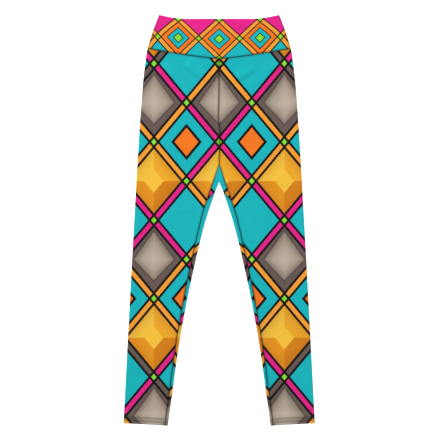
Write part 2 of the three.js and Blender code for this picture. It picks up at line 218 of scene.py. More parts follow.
# The print's trellis on the legs and on the waistband: width and height of a diamond, bar and outline
LEG_TRELLIS = (150, 180, 15, 5.4)
BAND_TRELLIS = (94, 88, 10, 2.6)
GUSSET_FIELD = (75, 128)
PRINT_CYCLE = 4
INNER_DIAMOND = 0.42
INNER_LINE = 0.12
BAND_TEAL = 0.60
BAND_LIME = 0.24
BAND_LINE = 0.075
STUD_TOP = 0.34
STUD_RIM_SHADE = 0.5
TAUPE_RINGS = (
    (0.0, TAUPE_LIGHT), (0.44, TAUPE), (0.68, TAUPE_SHADE), (0.72, TAUPE_DEEP), (0.80, TAUPE_DARK),
    (1.0, TAUPE_DARK),
)
TAUPE_LIFT = 0.07

# The jersey's stitches, its unevenness (scale and detail of two noises), its gloss, and the shade painted
# into its colour beside a seam (darkest share and width), then the thread's and the floor's surfaces
WALE = 0.95
COURSE = 0.75
STITCH_LEAN = 0.9
LOOP_SHARE = 0.3
BROAD_NOISE = (11.0, 3.0)
FINE_NOISE = (240.0, 2.0)
BROAD_SHARE = 0.6
KNIT_HEIGHT = 0.08
SLACK_HEIGHT = 1.2
TONE_RANGE = 0.09
ROUGH_LEAST = 0.60
ROUGH_RANGE = 0.10
PAINTED_SEAM_SHADES = ((0.08, 2.2), (0.66, 6.5))
CLOTH_SPECULAR = 0.12
CLOTH_SHEEN = 0.03
CLOTH_SHEEN_ROUGHNESS = 0.5
THREAD_GRAIN = (1800, 1.0)
THREAD_BUMP = 0.05
THREAD_TONE = (0.5, 0.75)
THREAD_ROUGHNESS = 0.7
FLOOR_ROUGHNESS = 0.9
FLOOR_SPECULAR = 0.1


def clamp(value):
    return np.clip(value, 0.0, 1.0)


def mix(a, b, share):
    return a + (b - a) * share


def smooth(start, end, value):
    share = clamp((value - start) / (end - start))
    return share * share * (3 - 2 * share)


def bell(distance, width):
    return np.exp(-((distance / width) ** 2))


def curve_through(rows):
    """A smooth curve through (height, value) rows, by cubic pieces with the slopes of the neighbours."""
    heights = np.array([row[0] for row in rows], float)
    values = np.array([row[1] for row in rows], float)
    last = len(rows) - 1
    before = np.maximum(np.arange(len(rows)) - 1, 0)
    after = np.minimum(np.arange(len(rows)) + 1, last)
    slopes = (values[after] - values[before]) / (heights[after] - heights[before])

    def curve(y):
        i = np.clip(np.searchsorted(heights, y) - 1, 0, last - 1)
        span = heights[i + 1] - heights[i]
        t = clamp((y - heights[i]) / span)
        bend = t * (1 - t) * span * ((1 - t) * slopes[i] - t * slopes[i + 1])
        return mix(values[i], values[i + 1], t * t * (3 - 2 * t)) + bend

    return curve


outer_half = curve_through(OUTER_EDGE)
inner_half = curve_through(INNER_EDGE)
inseam_set = curve_through(INSEAM_SET)
front_seam_x = curve_through(FRONT_SEAM)


def wall_at(y):
    zone_top = HEM_INNER + HEM_ZONE
    return mix(HEM_WALL, WALL, smooth(zone_top, zone_top + HEM_STEP, y))


def fold_radius(wall):
    return (wall + FOLD_GAP) / 2


def outer_x(y, wall):
    return outer_half(y) - wall / 2


def inner_x(y, wall):
    return inner_half(y) + wall / 2


def band_share(x):
    return clamp(np.abs(x) / outer_half(BAND_SEAM_SIDE)) ** BAND_SEAM_CURVE


def band_seam_front(x):
    return mix(BAND_SEAM_MIDDLE, BAND_SEAM_SIDE, band_share(x))


def band_seam_back(x):
    return mix(BAND_SEAM_BACK_MIDDLE, BAND_SEAM_SIDE, band_share(x))


def between(x, inner, outer):
    return clamp((np.abs(x) - inner) / (outer - inner))


def waist_edge(x):
    return mix(WAIST_MIDDLE, WAIST_CORNER, between(x, WAIST_LEVEL_HALF, WAIST_CORNER_HALF) ** WAIST_CURVE)


def hem_line(x):
    return mix(HEM_INNER, HEM_OUTER, between(x, inner_half(HEM_INNER), outer_half(HEM_INNER)))


def front_seam_on_leg(y):
    """Where the front edge of a leg's panel lies on top: the gusset's seam, and the inseam below it."""
    gusset_seam = FRONT_SLOPE * (FRONT_TIP - y)
    return mix(inner_half(y) + inseam_set(y), gusset_seam, smooth(*INSEAM_TURN, y))


def back_seam_x(y):
    return BACK_SLOPE * (BACK_TIP - y)


def from_crotch(x, y):
    round_point = np.hypot(x, y - CROTCH_CENTRE) - CROTCH_RADIUS
    return np.where(y > CROTCH_SIDE, round_point, np.abs(x) - inner_x(y, wall_at(y)))


def puff(distance, radius):
    return bell(np.maximum(0, distance - radius), PUFF_WIDTH)


def crease_rise(x, y, creases, lean=1):
    """Height of the creases at a place. Their upper sides are wider by the factor lean."""
    rise = 0
    for x0, y0, x1, y1, height, width in creases:
        dx, dy = x1 - x0, y1 - y0
        length = math.hypot(dx, dy)
        along = ((x - x0) * dx + (y - y0) * dy) / length
        across = ((x - x0) * dy - (y - y0) * dx) / length
        start = smooth(-width, width * CREASE_FADE, along)
        end = smooth(-width, width * CREASE_FADE, length - along)
        spread = np.where(across < 0, width * lean, width)
        rise = rise + height * start * end * bell(across, spread)
    return rise


def leg_creases(x, y):
    return crease_rise(x, y, CREASES + FINE_CREASES) + crease_rise(x, y, SHARP_CREASES, CREASE_LEAN)


def upper_height(x, y, side=1):
    """Height of the middle of the upper wall. side is 1 on the left leg and -1 on the right, where x is
    mirrored but the creases aren't."""
    wall = wall_at(y)
    radius = fold_radius(wall)
    edge = clamp(puff(outer_x(y, wall) - np.abs(x), radius) + puff(from_crotch(x, y), radius))
    band_level = (BAND_WALL - WALL) * 1.5
    to_band = band_level * smooth(BAND_RAMP, 0, band_seam_front(x) - y) * (1 - edge)
    return wall * 1.5 + mix(LAYER_GAP, FOLD_GAP, edge) + to_band + leg_creases(side * x, y) * (1 - edge)


def round_inner_fold(walk, y, side):
    """A place round a leg's inner fold. The walk is 0 at the edge, above 0 on top and below 0 underneath."""
    wall = wall_at(y)
    radius = fold_radius(wall)
    quarter = radius * math.pi / 2
    edge = inner_x(y, wall)
    on_top = walk > quarter
    under = walk < -quarter
    angle = np.clip(walk / radius, -math.pi / 2, math.pi / 2)
    x = edge + radius - radius * np.cos(angle)
    x = np.where(on_top, edge + radius + walk - quarter, x)
    x = np.where(under, edge + radius - walk - quarter, x)
    z = wall / 2 + radius + radius * np.sin(angle)
    return x, np.where(on_top, upper_height(x, y, side), z)


def top_walk(x, y):
    wall = wall_at(y)
    return x - inner_x(y, wall) + fold_radius(wall) * (math.pi / 2 - 1)


def gusset_back_walk(y):
    """The gusset's back seam, as a walk from the inner fold."""
    tip = top_walk(front_seam_on_leg(SIDE_TIP), SIDE_TIP) - TIP_WIDTH
    crotch = -top_walk(back_seam_x(CROTCH_SIDE), CROTCH_SIDE)
    return mix(tip, crotch, (y - SIDE_TIP) / (CROTCH_SIDE - SIDE_TIP))


def groove(distance):
    """How far a piece's edge turns in at a distance from its seam."""
    return GROOVE_DEPTH * bell(distance, GROOVE_WIDTH)


def spaced(stops, step):
    """Values from stop to stop, each stop included, no further apart than step."""
    values = [stops[0]]
    for start, end in zip(stops, stops[1:]):
        count = max(1, math.ceil(abs(end - start) / step))
        values += [mix(start, end, (k + 1) / count) for k in range(count)]
    return values


def shares(count):
    return (np.arange(count) + 1) / count


# Rows and columns of the sheets of cloth: the longest step along a leg and round it
ROW_STEP = 3.3
TOP_STEP = 3.1
UNDER_STEP = 8.5
FOLD_SHARES = shares(8)
HEM_ROW_STEP = 0.9
HEM_INSIDE_SHARES = shares(6)
FOLD_PASS_STEP = 1.3
BELOW_SEAM = BAND_SEAM_LEVEL - 4.5
BELOW_RAMP = 340
BELOW_GUSSET = 40
HEM_TOP = HEM_LEVEL + HEM_ZONE

# The two rows of the hem's cover stitch, and how far they pull the cloth in. Along them the colour gets the
# painted shade that lies beside a seam at the last distance below.
HEM_ROWS = (8.0, 14.5)
HEM_PULL = 0.22
HEM_PULL_WIDTH = 1.1
HEM_ROW_SHADE_DISTANCE = 1.0

# A leg's back edge: distances from the edge at which its stretches of columns start
TAIL_LENGTH = 16
TAIL_FOLD_REACH = 8.5
TAIL_SHARES = shares(4)
STRIP_SHARES = shares(3)
STRIP_LEAST = 0.6


def leg_columns(y, side):
    """Middle of a leg's wall at heights y, which has the sheet's rows and columns. Gives x, z, the share of
    the way to the underside, and the distance to the seam."""
    pieces = []
    parts = iter(np.split(y, np.cumsum(COLUMN_COUNTS)[:-1], axis=1))

    def fold_start(at):
        return outer_x(at, wall_at(at)) - fold_radius(wall_at(at))

    def front_edge(at):
        seam = np.where(at > FRONT_TIP, side * front_seam_x(at), front_seam_on_leg(at))
        return seam + SEAM_GAP / 2

    edge_steps = np.array(SEAM_DISTANCES)
    at = next(parts)
    x = front_edge(at) + edge_steps
    pieces.append((x, upper_height(x, at, side), 0 * x, 0 * x + edge_steps))

    at = next(parts)
    x = mix(front_edge(at) + SEAM_REACH, fold_start(at), shares(at.shape[1]))
    pieces.append((x, upper_height(x, at, side), 0 * x, x - front_edge(at)))

    at = next(parts)
    radius = fold_radius(wall_at(at))
    x = fold_start(at) + radius * np.sin(math.pi * FOLD_SHARES)
    z = wall_at(at) / 2 + radius * (1 + np.cos(math.pi * FOLD_SHARES))
    pieces.append((x, z, 0 * x + FOLD_SHARES, 0 * x + UNDER_STEP))

    def tail_end(at):
        """The back edge as a walk round the inner fold, for rows at and below the crotch."""
        inseam = top_walk(front_seam_on_leg(at) - SEAM_GAP / 2, at)
        beside_gusset = gusset_back_walk(at) - SEAM_GAP / 2
        return np.where(at > SIDE_TIP - 1, beside_gusset, inseam)

    def flat_end(at):
        return np.maximum(0, back_seam_x(np.minimum(at, BACK_TIP))) + SEAM_GAP / 2

    def tail_knots(at):
        radius = fold_radius(wall_at(at))
        quarter = radius * math.pi / 2
        end = tail_end(at)
        start = np.minimum(-2 * radius, end - TAIL_LENGTH)
        fold_from = np.minimum(-quarter, end - TAIL_FOLD_REACH)
        fold_to = np.minimum(quarter, end - SEAM_REACH - STRIP_LEAST)
        return start, fold_from, fold_to, end - SEAM_REACH, end

    at = next(parts)
    tail_x, _ = round_inner_fold(tail_knots(at)[0], at, side)
    target = np.where(at > CROTCH_SIDE, flat_end(at) + TAIL_LENGTH, tail_x)
    x = mix(fold_start(at), target, shares(at.shape[1]))
    pieces.append((x, 0 * x + wall_at(at) / 2, 0 * x + 1, 0 * x + UNDER_STEP))

    flat_knots = (TAIL_LENGTH, TAIL_FOLD_REACH, SEAM_REACH + STRIP_LEAST, SEAM_REACH)
    for index, part in enumerate((TAIL_SHARES, FOLD_SHARES, STRIP_SHARES)):
        at = next(parts)
        knots = tail_knots(at)
        walk = mix(knots[index], knots[index + 1], part)
        flat = mix(flat_knots[index], flat_knots[index + 1], part)
        pieces.append(tail_place(at, walk, tail_end(at) - walk, flat_end(at), flat, side))
    distance = edge_steps[:-1][::-1]
    at = next(parts)
    end = tail_end(at)
    pieces.append(tail_place(at, end - distance, 0 * end + distance, flat_end(at), distance, side))
    return [np.concatenate([piece[n] for piece in pieces], axis=1) for n in range(4)]


def tail_place(at, walk, walk_distance, flat_end, flat_distance, side):
    """Columns near a leg's back edge: flat above the crotch, and round the inner fold below it."""
    x, z = round_inner_fold(walk, at, side)
    is_flat = at > CROTCH_SIDE
    x = np.where(is_flat, flat_end + flat_distance, x)
    z = np.where(is_flat, wall_at(at) / 2, z)
    under = np.where(is_flat | (walk <= 0), 1.0, 0.0)
    return x, z, under, np.where(is_flat, flat_distance, walk_distance)


# Columns at a leg's front edge, on top, round the outer fold, underneath, and in the back edge's stretches
WIDEST = OUTER_EDGE[3][1]
COLUMN_COUNTS = (
    len(SEAM_DISTANCES), math.ceil(WIDEST / TOP_STEP), len(FOLD_SHARES), math.ceil(WIDEST / UNDER_STEP),
    len(TAIL_SHARES), len(FOLD_SHARES), len(STRIP_SHARES), len(SEAM_DISTANCES) - 1,
)

# How far a level row is moved along the garment so that its end follows the slanting seam or hem
SHIFT_BELOW_SEAM = 290
SHIFT_ABOVE_HEM = -400
SHIFT_PASSES = 4


def along_shift(x, level, under):
    seam = mix(band_seam_front(x), band_seam_back(x), under) - SEAM_GAP / 2 - BAND_SEAM_LEVEL
    to_seam = smooth(SHIFT_BELOW_SEAM, BAND_SEAM_LEVEL, level)
    to_hem = smooth(SHIFT_ABOVE_HEM, HEM_LEVEL, level)
    return seam * to_seam + (hem_line(x) - HEM_LEVEL) * to_hem


def leg_rows():
    """The rows of a leg's sheet from the waist seam down to the hem's fold and up again inside.
    Gives each row's level, how far it lies inside the outer layer, and how far on it is in the flat cut."""
    levels = [BAND_SEAM_LEVEL - distance for distance in SEAM_DISTANCES]
    levels += spaced([BELOW_SEAM, BELOW_RAMP, FRONT_TIP, BACK_TIP, CROTCH_SIDE], ROW_STEP)
    levels += spaced([CROTCH_SIDE, SIDE_TIP], FOLD_PASS_STEP)[1:]
    levels += spaced([BELOW_GUSSET, HEM_TOP], ROW_STEP)
    radius = DOUBLED / 2
    centre = HEM_LEVEL + CLOTH / 2 + radius
    levels += spaced([HEM_TOP, centre], HEM_ROW_STEP)[1:]
    outer_count = len(levels)
    inward = [0] * outer_count
    cut = [0] * outer_count
    for share in FOLD_SHARES:
        angle = math.pi * share
        levels.append(centre - radius * math.sin(angle))
        inward.append(radius * (1 - math.cos(angle)))
        cut.append(-radius * (angle - math.sin(angle)))
    for share in HEM_INSIDE_SHARES:
        rise = (HEM_DEPTH - radius) * share
        levels.append(centre + rise)
        inward.append(2 * radius)
        cut.append(-math.pi * radius - 2 * rise)
    columns = [np.array(values, float)[:, None] for values in (levels, inward, cut)]
    return columns, outer_count


def section_normals(x, z):
    """Outward directions in level sections, from the columns on both sides of each place."""
    dx, dz = np.gradient(x, axis=1), np.gradient(z, axis=1)
    length = np.hypot(dx, dz)
    return -dz / length, dx / length


def section_walk(x, z):
    """How far along its level section each place lies, from the first column."""
    arc = np.hypot(np.diff(x, axis=1), np.diff(z, axis=1))
    return np.concatenate([0 * x[:, :1], np.cumsum(arc, axis=1)], axis=1)


def walked(places):
    """Distances of a path's places from its start."""
    steps = np.linalg.norm(np.diff(places, axis=0), axis=1)
    return np.concatenate([[0], np.cumsum(steps)])


Sheet = namedtuple("Sheet", "points normals cut to_seam level")


def leg_surface(side):
    """A leg's cloth: places (rows, columns, 3) of its middle, outward normals, the flat cut's coordinates,
    distances to its seams, and the level of each row, which is doubled where the hem turns up inside."""
    (level, inward, cut), outer_count = leg_rows()
    y = np.repeat(level, sum(COLUMN_COUNTS), axis=1)
    shifted = (level > SHIFT_BELOW_SEAM) | (level < SHIFT_ABOVE_HEM)
    for _ in range(SHIFT_PASSES):
        x, z, under, distance = leg_columns(y, side)
        y = np.where(shifted, level + along_shift(x, level, under), y)
    x, z, under, distance = leg_columns(y, side)
    normal_x, normal_z = section_normals(x, z)
    cut_u = x[:, :1] + section_walk(x, z)
    to_waist = mix(band_seam_front(x), band_seam_back(x), under) - y
    in_seams = np.maximum(groove(distance), groove(np.maximum(0, to_waist)))
    above_hem = y - hem_line(x)
    pulls = sum(bell(above_hem - row, HEM_PULL_WIDTH) for row in HEM_ROWS)
    out = (wall_at(y) - CLOTH) / 2 - inward - in_seams - HEM_PULL * pulls
    normals = np.stack([side * normal_x, 0 * x, normal_z], axis=2)
    middle = np.stack([side * x, y, z], axis=2)
    flat = np.stack([side * cut_u, y + cut], axis=2)
    to_seam = np.minimum(distance, np.maximum(0, to_waist))
    # The hem's stitch rows get a painted shade too, as the cloth a little way from a seam does
    for row in HEM_ROWS:
        to_seam = np.minimum(to_seam, np.abs(above_hem - row) + HEM_ROW_SHADE_DISTANCE)
    return Sheet(middle + normals * out[:, :, None], normals, flat, to_seam, level[:outer_count, 0])


# The gusset's ribs: level below the crotch point, and fanned out round it above
FAN_RIBS = 10
RIB_SEAM_SHARE = 0.3
RIB_FOLD_REACH = 5
RIB_FOLD_MOST = 0.9
RIB_STRIP = 0.3
RIB_STRIP_SHARE = 0.15
RIB_TOP_SHARES = shares(6)
RIB_UNDER_SHARES = shares(4)


def rib_walks(start, end):
    """Places along a rib from its front seam to its back seam, close together at both, with their
    distance to the nearer seam."""
    reach = min(SEAM_REACH, (start - end) * RIB_SEAM_SHARE)
    steps = [reach * distance / SEAM_REACH for distance in SEAM_DISTANCES]
    quarter = fold_radius(WALL) * math.pi / 2
    first, last = start - reach, end + reach
    fold_from = min(mix(last, first, RIB_FOLD_MOST), max(quarter, last + RIB_FOLD_REACH))
    fold_to = max(-quarter, last + min(RIB_STRIP, RIB_STRIP_SHARE * (first - last)))
    walks = [start - step for step in steps]
    walks += [mix(first, fold_from, share) for share in RIB_TOP_SHARES]
    walks += [mix(fold_from, fold_to, share) for share in FOLD_SHARES]
    walks += [mix(fold_to, last, share) for share in RIB_UNDER_SHARES]
    walks += [end + step for step in steps[::-1][1:]]
    return [(walk, min(start - walk, walk - end)) for walk in walks]


def level_rib(y, side):
    start = float(top_walk(front_seam_on_leg(y) - SEAM_GAP / 2, y))
    end = float(gusset_back_walk(y)) + SEAM_GAP / 2
    unfolded = float(inner_x(y, WALL)) - fold_radius(WALL) * (math.pi / 2 - 1)
    rib = []
    for walk, distance in rib_walks(start, end):
        x, z = round_inner_fold(np.array(walk), y, side)
        rib.append((side * float(x), y, float(z), side * (unfolded + walk), y, distance))
    return rib


def fan_rib(share, side):
    """A rib that points away from the rounded crotch point, on top and underneath."""
    radius = fold_radius(WALL)
    quarter = radius * math.pi / 2
    turn = share * math.pi / 2
    place = mix(CROTCH_ANGLE, math.pi / 2, share)
    ahead_x, ahead_y = math.cos(turn), math.sin(turn)
    edge_x = CROTCH_RADIUS * math.cos(place)
    edge_y = CROTCH_CENTRE + CROTCH_RADIUS * math.sin(place)

    def reach(tip, slope):
        return (slope * (tip - edge_y) - SEAM_GAP / 2 - edge_x) / (ahead_x + slope * ahead_y)

    start = reach(FRONT_TIP, FRONT_SLOPE) - radius + quarter
    end = -(reach(BACK_TIP, BACK_SLOPE) - radius + quarter)
    rib = []
    for walk, distance in rib_walks(start, end):
        angle = max(-math.pi / 2, min(math.pi / 2, walk / radius))
        away = radius - radius * math.cos(angle) + max(0, abs(walk) - quarter)
        x, y = edge_x + away * ahead_x, edge_y + away * ahead_y
        z = WALL / 2 + radius + radius * math.sin(angle)
        if walk > quarter:
            z = float(upper_height(x, y, side))
        flat = walk - radius * (math.pi / 2 - 1)
        rib.append((side * x, y, z, side * (edge_x + flat * ahead_x), edge_y + flat * ahead_y, distance))
    return rib


def gusset_surface():
    """Places of the middle of the gusset's cloth, its flat cut and the distance to its seams."""
    levels = spaced([SIDE_TIP + SEAM_GAP, CROTCH_SIDE], FOLD_PASS_STEP)
    halves = []
    for side in (-1, 1):
        ribs = [level_rib(y, side) for y in levels]
        ribs += [fan_rib(share, side) for share in shares(FAN_RIBS)]
        halves.append(ribs)
    ribs = np.array(halves[0] + halves[1][:-1][::-1])
    points, flat, distance = ribs[:, :, :3], ribs[:, :, 3:5], ribs[:, :, 5]
    along = np.gradient(points, axis=1)
    down = np.gradient(points, axis=0)
    normals = np.cross(down, along)
    is_level = np.ones(len(ribs), bool)
    is_level[len(levels):-len(levels)] = False
    normals[is_level, :, 1] = 0
    normals /= np.linalg.norm(normals, axis=2, keepdims=True)
    if normals[len(levels), 0, 2] < 0:
        normals = -normals
    out = (WALL - CLOTH) / 2 - groove(distance)
    return Sheet(points + normals * out[:, :, None], normals, flat, distance, np.array(levels))


# The waistband's pieces: doubled cloth, folded at the waist edge, whose ends curl round the side folds
BAND_STEP = 3
BAND_ROW_STEP = 3
BAND_CURL_SHARES = shares(6)
BAND_LOWER = BAND_WALL / 2
BAND_UPPER = BAND_WALL / 2 + BAND_WALL + LAYER_GAP
BAND_FOLD = (BAND_WALL + BAND_FOLD_GAP) / 2
SIDE_SEAM_GROOVE = 0.35


def band_rows():
    """Rows of a doubled band from its seam up the outside, over the fold and down the inside: the share of
    the height at which they lie, a fixed distance added to it, and how far inside they are."""
    radius = DOUBLED / 2
    rows = [(0, distance, 0) for distance in SEAM_DISTANCES]
    count = math.ceil((WAIST_MIDDLE - BAND_SEAM_MIDDLE) / BAND_ROW_STEP)
    rows += [(share, mix(SEAM_REACH, -CLOTH / 2 - radius, share), 0) for share in shares(count)]
    for share in FOLD_SHARES:
        angle = math.pi * share
        rows.append((1, radius * math.sin(angle) - CLOTH / 2 - radius, radius * (1 - math.cos(angle))))
    rows += [(1 - share, mix(-CLOTH / 2 - radius, 0, share), 2 * radius) for share in shares(count // 2)]
    return [np.array([row[n] for row in rows])[:, None] for n in range(3)]


def band_surface(is_front):
    """Places of the middle of a waistband piece's cloth, its flat cut and the distance to its side seams."""
    seam = band_seam_front if is_front else band_seam_back
    share, added, inward = band_rows()

    def place(x):
        return mix(seam(x) + SEAM_GAP / 2, waist_edge(x), share) + added

    curl = math.pi / 2 - SEAM_GAP / 2 / BAND_FOLD
    middle = BAND_LOWER + BAND_FOLD
    side_y = place(outer_half(mix(BAND_SEAM_SIDE, WAIST_CORNER, share)))
    end = outer_half(side_y) - BAND_WALL / 2 - BAND_FOLD
    half = math.ceil(outer_half(BAND_SEAM_SIDE) / BAND_STEP)
    flat_shares = np.linspace(-1, 1, 2 * half + 1)[None, :]
    flat_x = end * flat_shares
    lift = puff(end + BAND_FOLD - np.abs(flat_x), BAND_FOLD)
    creases = crease_rise(flat_x, place(flat_x), BAND_CREASES, CREASE_LEAN)
    top = mix(BAND_UPPER, middle + BAND_FOLD, lift) + creases * (1 - lift)
    flat_z = top if is_front else BAND_LOWER + 0 * flat_x
    angles = curl * BAND_CURL_SHARES[None, :]
    rim_x = end + BAND_FOLD * np.sin(angles)
    rim_z = middle + (1 if is_front else -1) * BAND_FOLD * np.cos(angles) + 0 * rim_x
    x = np.concatenate([-rim_x[:, ::-1], flat_x, rim_x], axis=1)
    z = np.concatenate([rim_z[:, ::-1], flat_z, rim_z], axis=1)
    y = place(x)
    normal_x, normal_z = section_normals(x, z)
    if not is_front:
        normal_x, normal_z = -normal_x, -normal_z
    walk = section_walk(x, z)
    cut_u = walk - walk[:, -1:] / 2
    to_end = np.minimum(walk, walk[:, -1:] - walk)
    to_seam = np.where(inward == 0, y - seam(x), TAIL_LENGTH)
    at_side = SIDE_SEAM_GROOVE * bell(to_end, GROOVE_WIDTH)
    out = (BAND_WALL - CLOTH) / 2 - inward - np.maximum(groove(np.maximum(0, to_seam)), at_side)
    normals = np.stack([normal_x, 0 * x, normal_z], axis=2)
    points = np.stack([x, y, z], axis=2) + normals * out[:, :, None]
    cut_v = walked(points[:, half])[:, None] + (y - y[:, half:half + 1]) * (1 - share)
    flat = np.stack([cut_u, cut_v], axis=2)
    return Sheet(points, normals, flat, np.minimum(to_end, np.maximum(0, to_seam)), share[:, 0])


# What the cloth's materials read: the flat cut in metres, and the distance to the nearest seam in mm, which
# sets the shade painted beside the seams
CUT_MAP = "cut"
SEAM_ATTRIBUTE = "to_seam"
SMOOTH_ANGLE = math.radians(50)


def on_whole_mesh(operator, **settings):
    """Runs an edit mode operator on all of the active object's mesh."""
    bpy.ops.object.mode_set(mode="EDIT")
    bpy.ops.mesh.select_all(action="SELECT")
    operator(**settings)
    bpy.ops.object.mode_set(mode="OBJECT")


def piece_from_grid(name, sheet, is_turned):
    """A grid added with Blender's own operator and laid onto the sheet, with the flat cut as its UV map."""
    rows, columns = sheet.points.shape[:2]
    bpy.ops.mesh.primitive_grid_add(x_subdivisions=columns - 1, y_subdivisions=rows - 1, calc_uvs=False)
    piece = bpy.context.object
    piece.name = piece.data.name = name
    mesh = piece.data
    mesh.vertices.foreach_set("co", (sheet.points * MM).astype(np.float32).ravel())
    corners = np.empty(len(mesh.loops), np.int32)
    mesh.loops.foreach_get("vertex_index", corners)
    flat = (sheet.cut * MM).reshape(-1, 2)[corners]
    mesh.uv_layers.new(name=CUT_MAP).data.foreach_set("uv", flat.astype(np.float32).ravel())
    near = mesh.attributes.new(SEAM_ATTRIBUTE, "FLOAT", "POINT")
    near.data.foreach_set("value", sheet.to_seam.astype(np.float32).ravel())
    if is_turned:
        on_whole_mesh(bpy.ops.mesh.flip_normals)
    return piece


def cloth_piece(name, sheet, is_turned, materials):
    """A sheet of cloth with its real thickness. The first material is outside and the last one inside."""
    piece = piece_from_grid(name, sheet, is_turned)
    for material in materials:
        piece.data.materials.append(material)
    thick = piece.modifiers.new("cloth thickness", "SOLIDIFY")
    thick.thickness = CLOTH * MM
    thick.offset = 0
    thick.material_offset = len(materials) - 1
    bpy.ops.object.modifier_apply(modifier=thick.name)
    bpy.ops.object.shade_smooth_by_angle(angle=SMOOTH_ANGLE)
    return piece


# A stitch: a short rod of thread with round ends, which is modelled once and repeated
STITCH_SIDES = 6
STITCH_RINGS = (
    (-1.0, 0.30), (-0.86, 0.72), (-0.55, 0.95), (0.0, 1.0), (0.55, 0.95), (0.86, 0.72), (1.0, 0.30),
)


def stitch_model():
    """Corners and faces of one stitch of unit half-length along X and unit radius."""
    bpy.ops.mesh.primitive_cylinder_add(
        vertices=STITCH_SIDES, radius=1, depth=2, end_fill_type="NGON", rotation=(0, math.pi / 2, 0)
    )
    rod = bpy.context.object
    bpy.ops.object.transform_apply(location=False, rotation=True, scale=False)
    for along, _ in STITCH_RINGS[1:-1]:
        on_whole_mesh(bpy.ops.mesh.bisect, plane_co=(along, 0, 0), plane_no=(1, 0, 0))
    stops, sizes = zip(*STITCH_RINGS)
    corners = np.array([vertex.co[:] for vertex in rod.data.vertices])
    corners[:, 1:] *= np.interp(corners[:, 0], stops, sizes)[:, None]
    faces = [tuple(face.vertices) for face in rod.data.polygons]
    bpy.data.objects.remove(rod)
    return corners, faces


def read_at(distances, values, at):
    return np.stack([np.interp(at, distances, values[:, n]) for n in range(3)], axis=-1)


def unit(vectors):
    return vectors / np.linalg.norm(vectors, axis=1, keepdims=True)


def stitches(name, paths, pitch, half_length, radius, sunk, is_across, material):
    """One piece of thread stitches along paths of (places, normals), across each path or along it. The
    stitches' middles lie sunk by a distance below the cloth's outer surface."""
    model, faces = stitch_model()
    corners, all_faces = [], []
    for places, normals in paths:
        distances = walked(places)
        length = distances[-1]
        count = int(length / pitch)
        at = (np.arange(count) + 0.5) * length / count
        ahead = np.minimum(at + pitch / 4, length)
        behind = np.maximum(at - pitch / 4, 0)
        tangent = unit(read_at(distances, places, ahead) - read_at(distances, places, behind))
        outward = unit(read_at(distances, normals, at))
        across = unit(np.cross(outward, tangent))
        long_way, short_way = (across, tangent) if is_across else (tangent, across)
        middle = read_at(distances, places, at) + outward * (CLOTH / 2 - sunk)
        for k in range(count):
            base = len(corners) * len(model)
            rod = (
                model[:, :1] * half_length * long_way[k]
                + model[:, 1:2] * radius * short_way[k]
                + model[:, 2:] * radius * outward[k]
            )
            corners.append(middle[k] + rod)
            all_faces += [tuple(base + corner for corner in face) for face in faces]
    mesh = bpy.data.meshes.new(name)
    mesh.from_pydata((np.concatenate(corners) * MM).tolist(), [], all_faces)
    mesh.materials.append(material)
    piece = bpy.data.objects.new(name, mesh)
    bpy.context.collection.objects.link(piece)
    bpy.ops.object.select_all(action="DESELECT")
    bpy.context.view_layer.objects.active = piece
    piece.select_set(True)
    on_whole_mesh(bpy.ops.mesh.normals_make_consistent, inside=False)
    bpy.ops.object.shade_smooth_by_angle(angle=SMOOTH_ANGLE)
    return piece


def put(tree, socket, value):
    """Gives an input a number, a colour or another node's output."""
    if isinstance(value, bpy.types.NodeSocket):
        tree.links.new(value, socket)
    else:
        socket.default_value = value


def fill(tree, node, inputs):
    for socket, value in inputs.items():
        put(tree, node.inputs[socket], value)


def add_node(tree, kind, inputs=None, **settings):
    node = tree.nodes.new(kind)
    for key, value in settings.items():
        setattr(node, key, value)
    fill(tree, node, inputs or {})
    return node


def math_node(tree, operation, *values):
    return add_node(tree, "ShaderNodeMath", dict(enumerate(values)), operation=operation).outputs[0]


def noise(tree, place, scale, detail):
    inputs = {"Vector": place, "Scale": scale, "Detail": detail}
    return add_node(tree, "ShaderNodeTexNoise", inputs).outputs["Fac"]


def mix_node(tree, share, below, above):
    """The colour below where share is 0, and the one above where it is 1."""
    node = add_node(tree, "ShaderNodeMix", data_type="RGBA")
    share_socket, *_, below_socket, above_socket = [s for s in node.inputs if s.enabled]
    put(tree, share_socket, share)
    put(tree, below_socket, below)
    put(tree, above_socket, above)
    return next(s for s in node.outputs if s.enabled)


def new_group(name, inputs, outputs):
    """An empty node group with its named sockets. Gives the tree, its input sockets and its output node."""
    group = bpy.data.node_groups.new(name, "ShaderNodeTree")
    for in_out, sockets in (("INPUT", inputs), ("OUTPUT", outputs)):
        for socket, kind in sockets.items():
            group.interface.new_socket(socket, in_out=in_out, socket_type="NodeSocket" + kind)
    return group, group.nodes.new("NodeGroupInput").outputs, group.nodes.new("NodeGroupOutput")


def place_group(tree, group, **inputs):
    return add_node(tree, "ShaderNodeGroup", inputs, node_tree=group).outputs


def new_material(name):
    material = bpy.data.materials.new(name)
    material.use_nodes = True
    return material, material.node_tree, material.node_tree.nodes["Principled BSDF"]


def linear(colour, light=LIGHT_LEVEL):
    """A colour as it looks in sRGB under a level of light, as the linear values that a shader takes."""
    values = [c / 12.92 if c <= 0.04045 else ((c + 0.055) / 1.055) ** 2.4 for c in colour]
    return (*(value / light for value in values), 1.0)


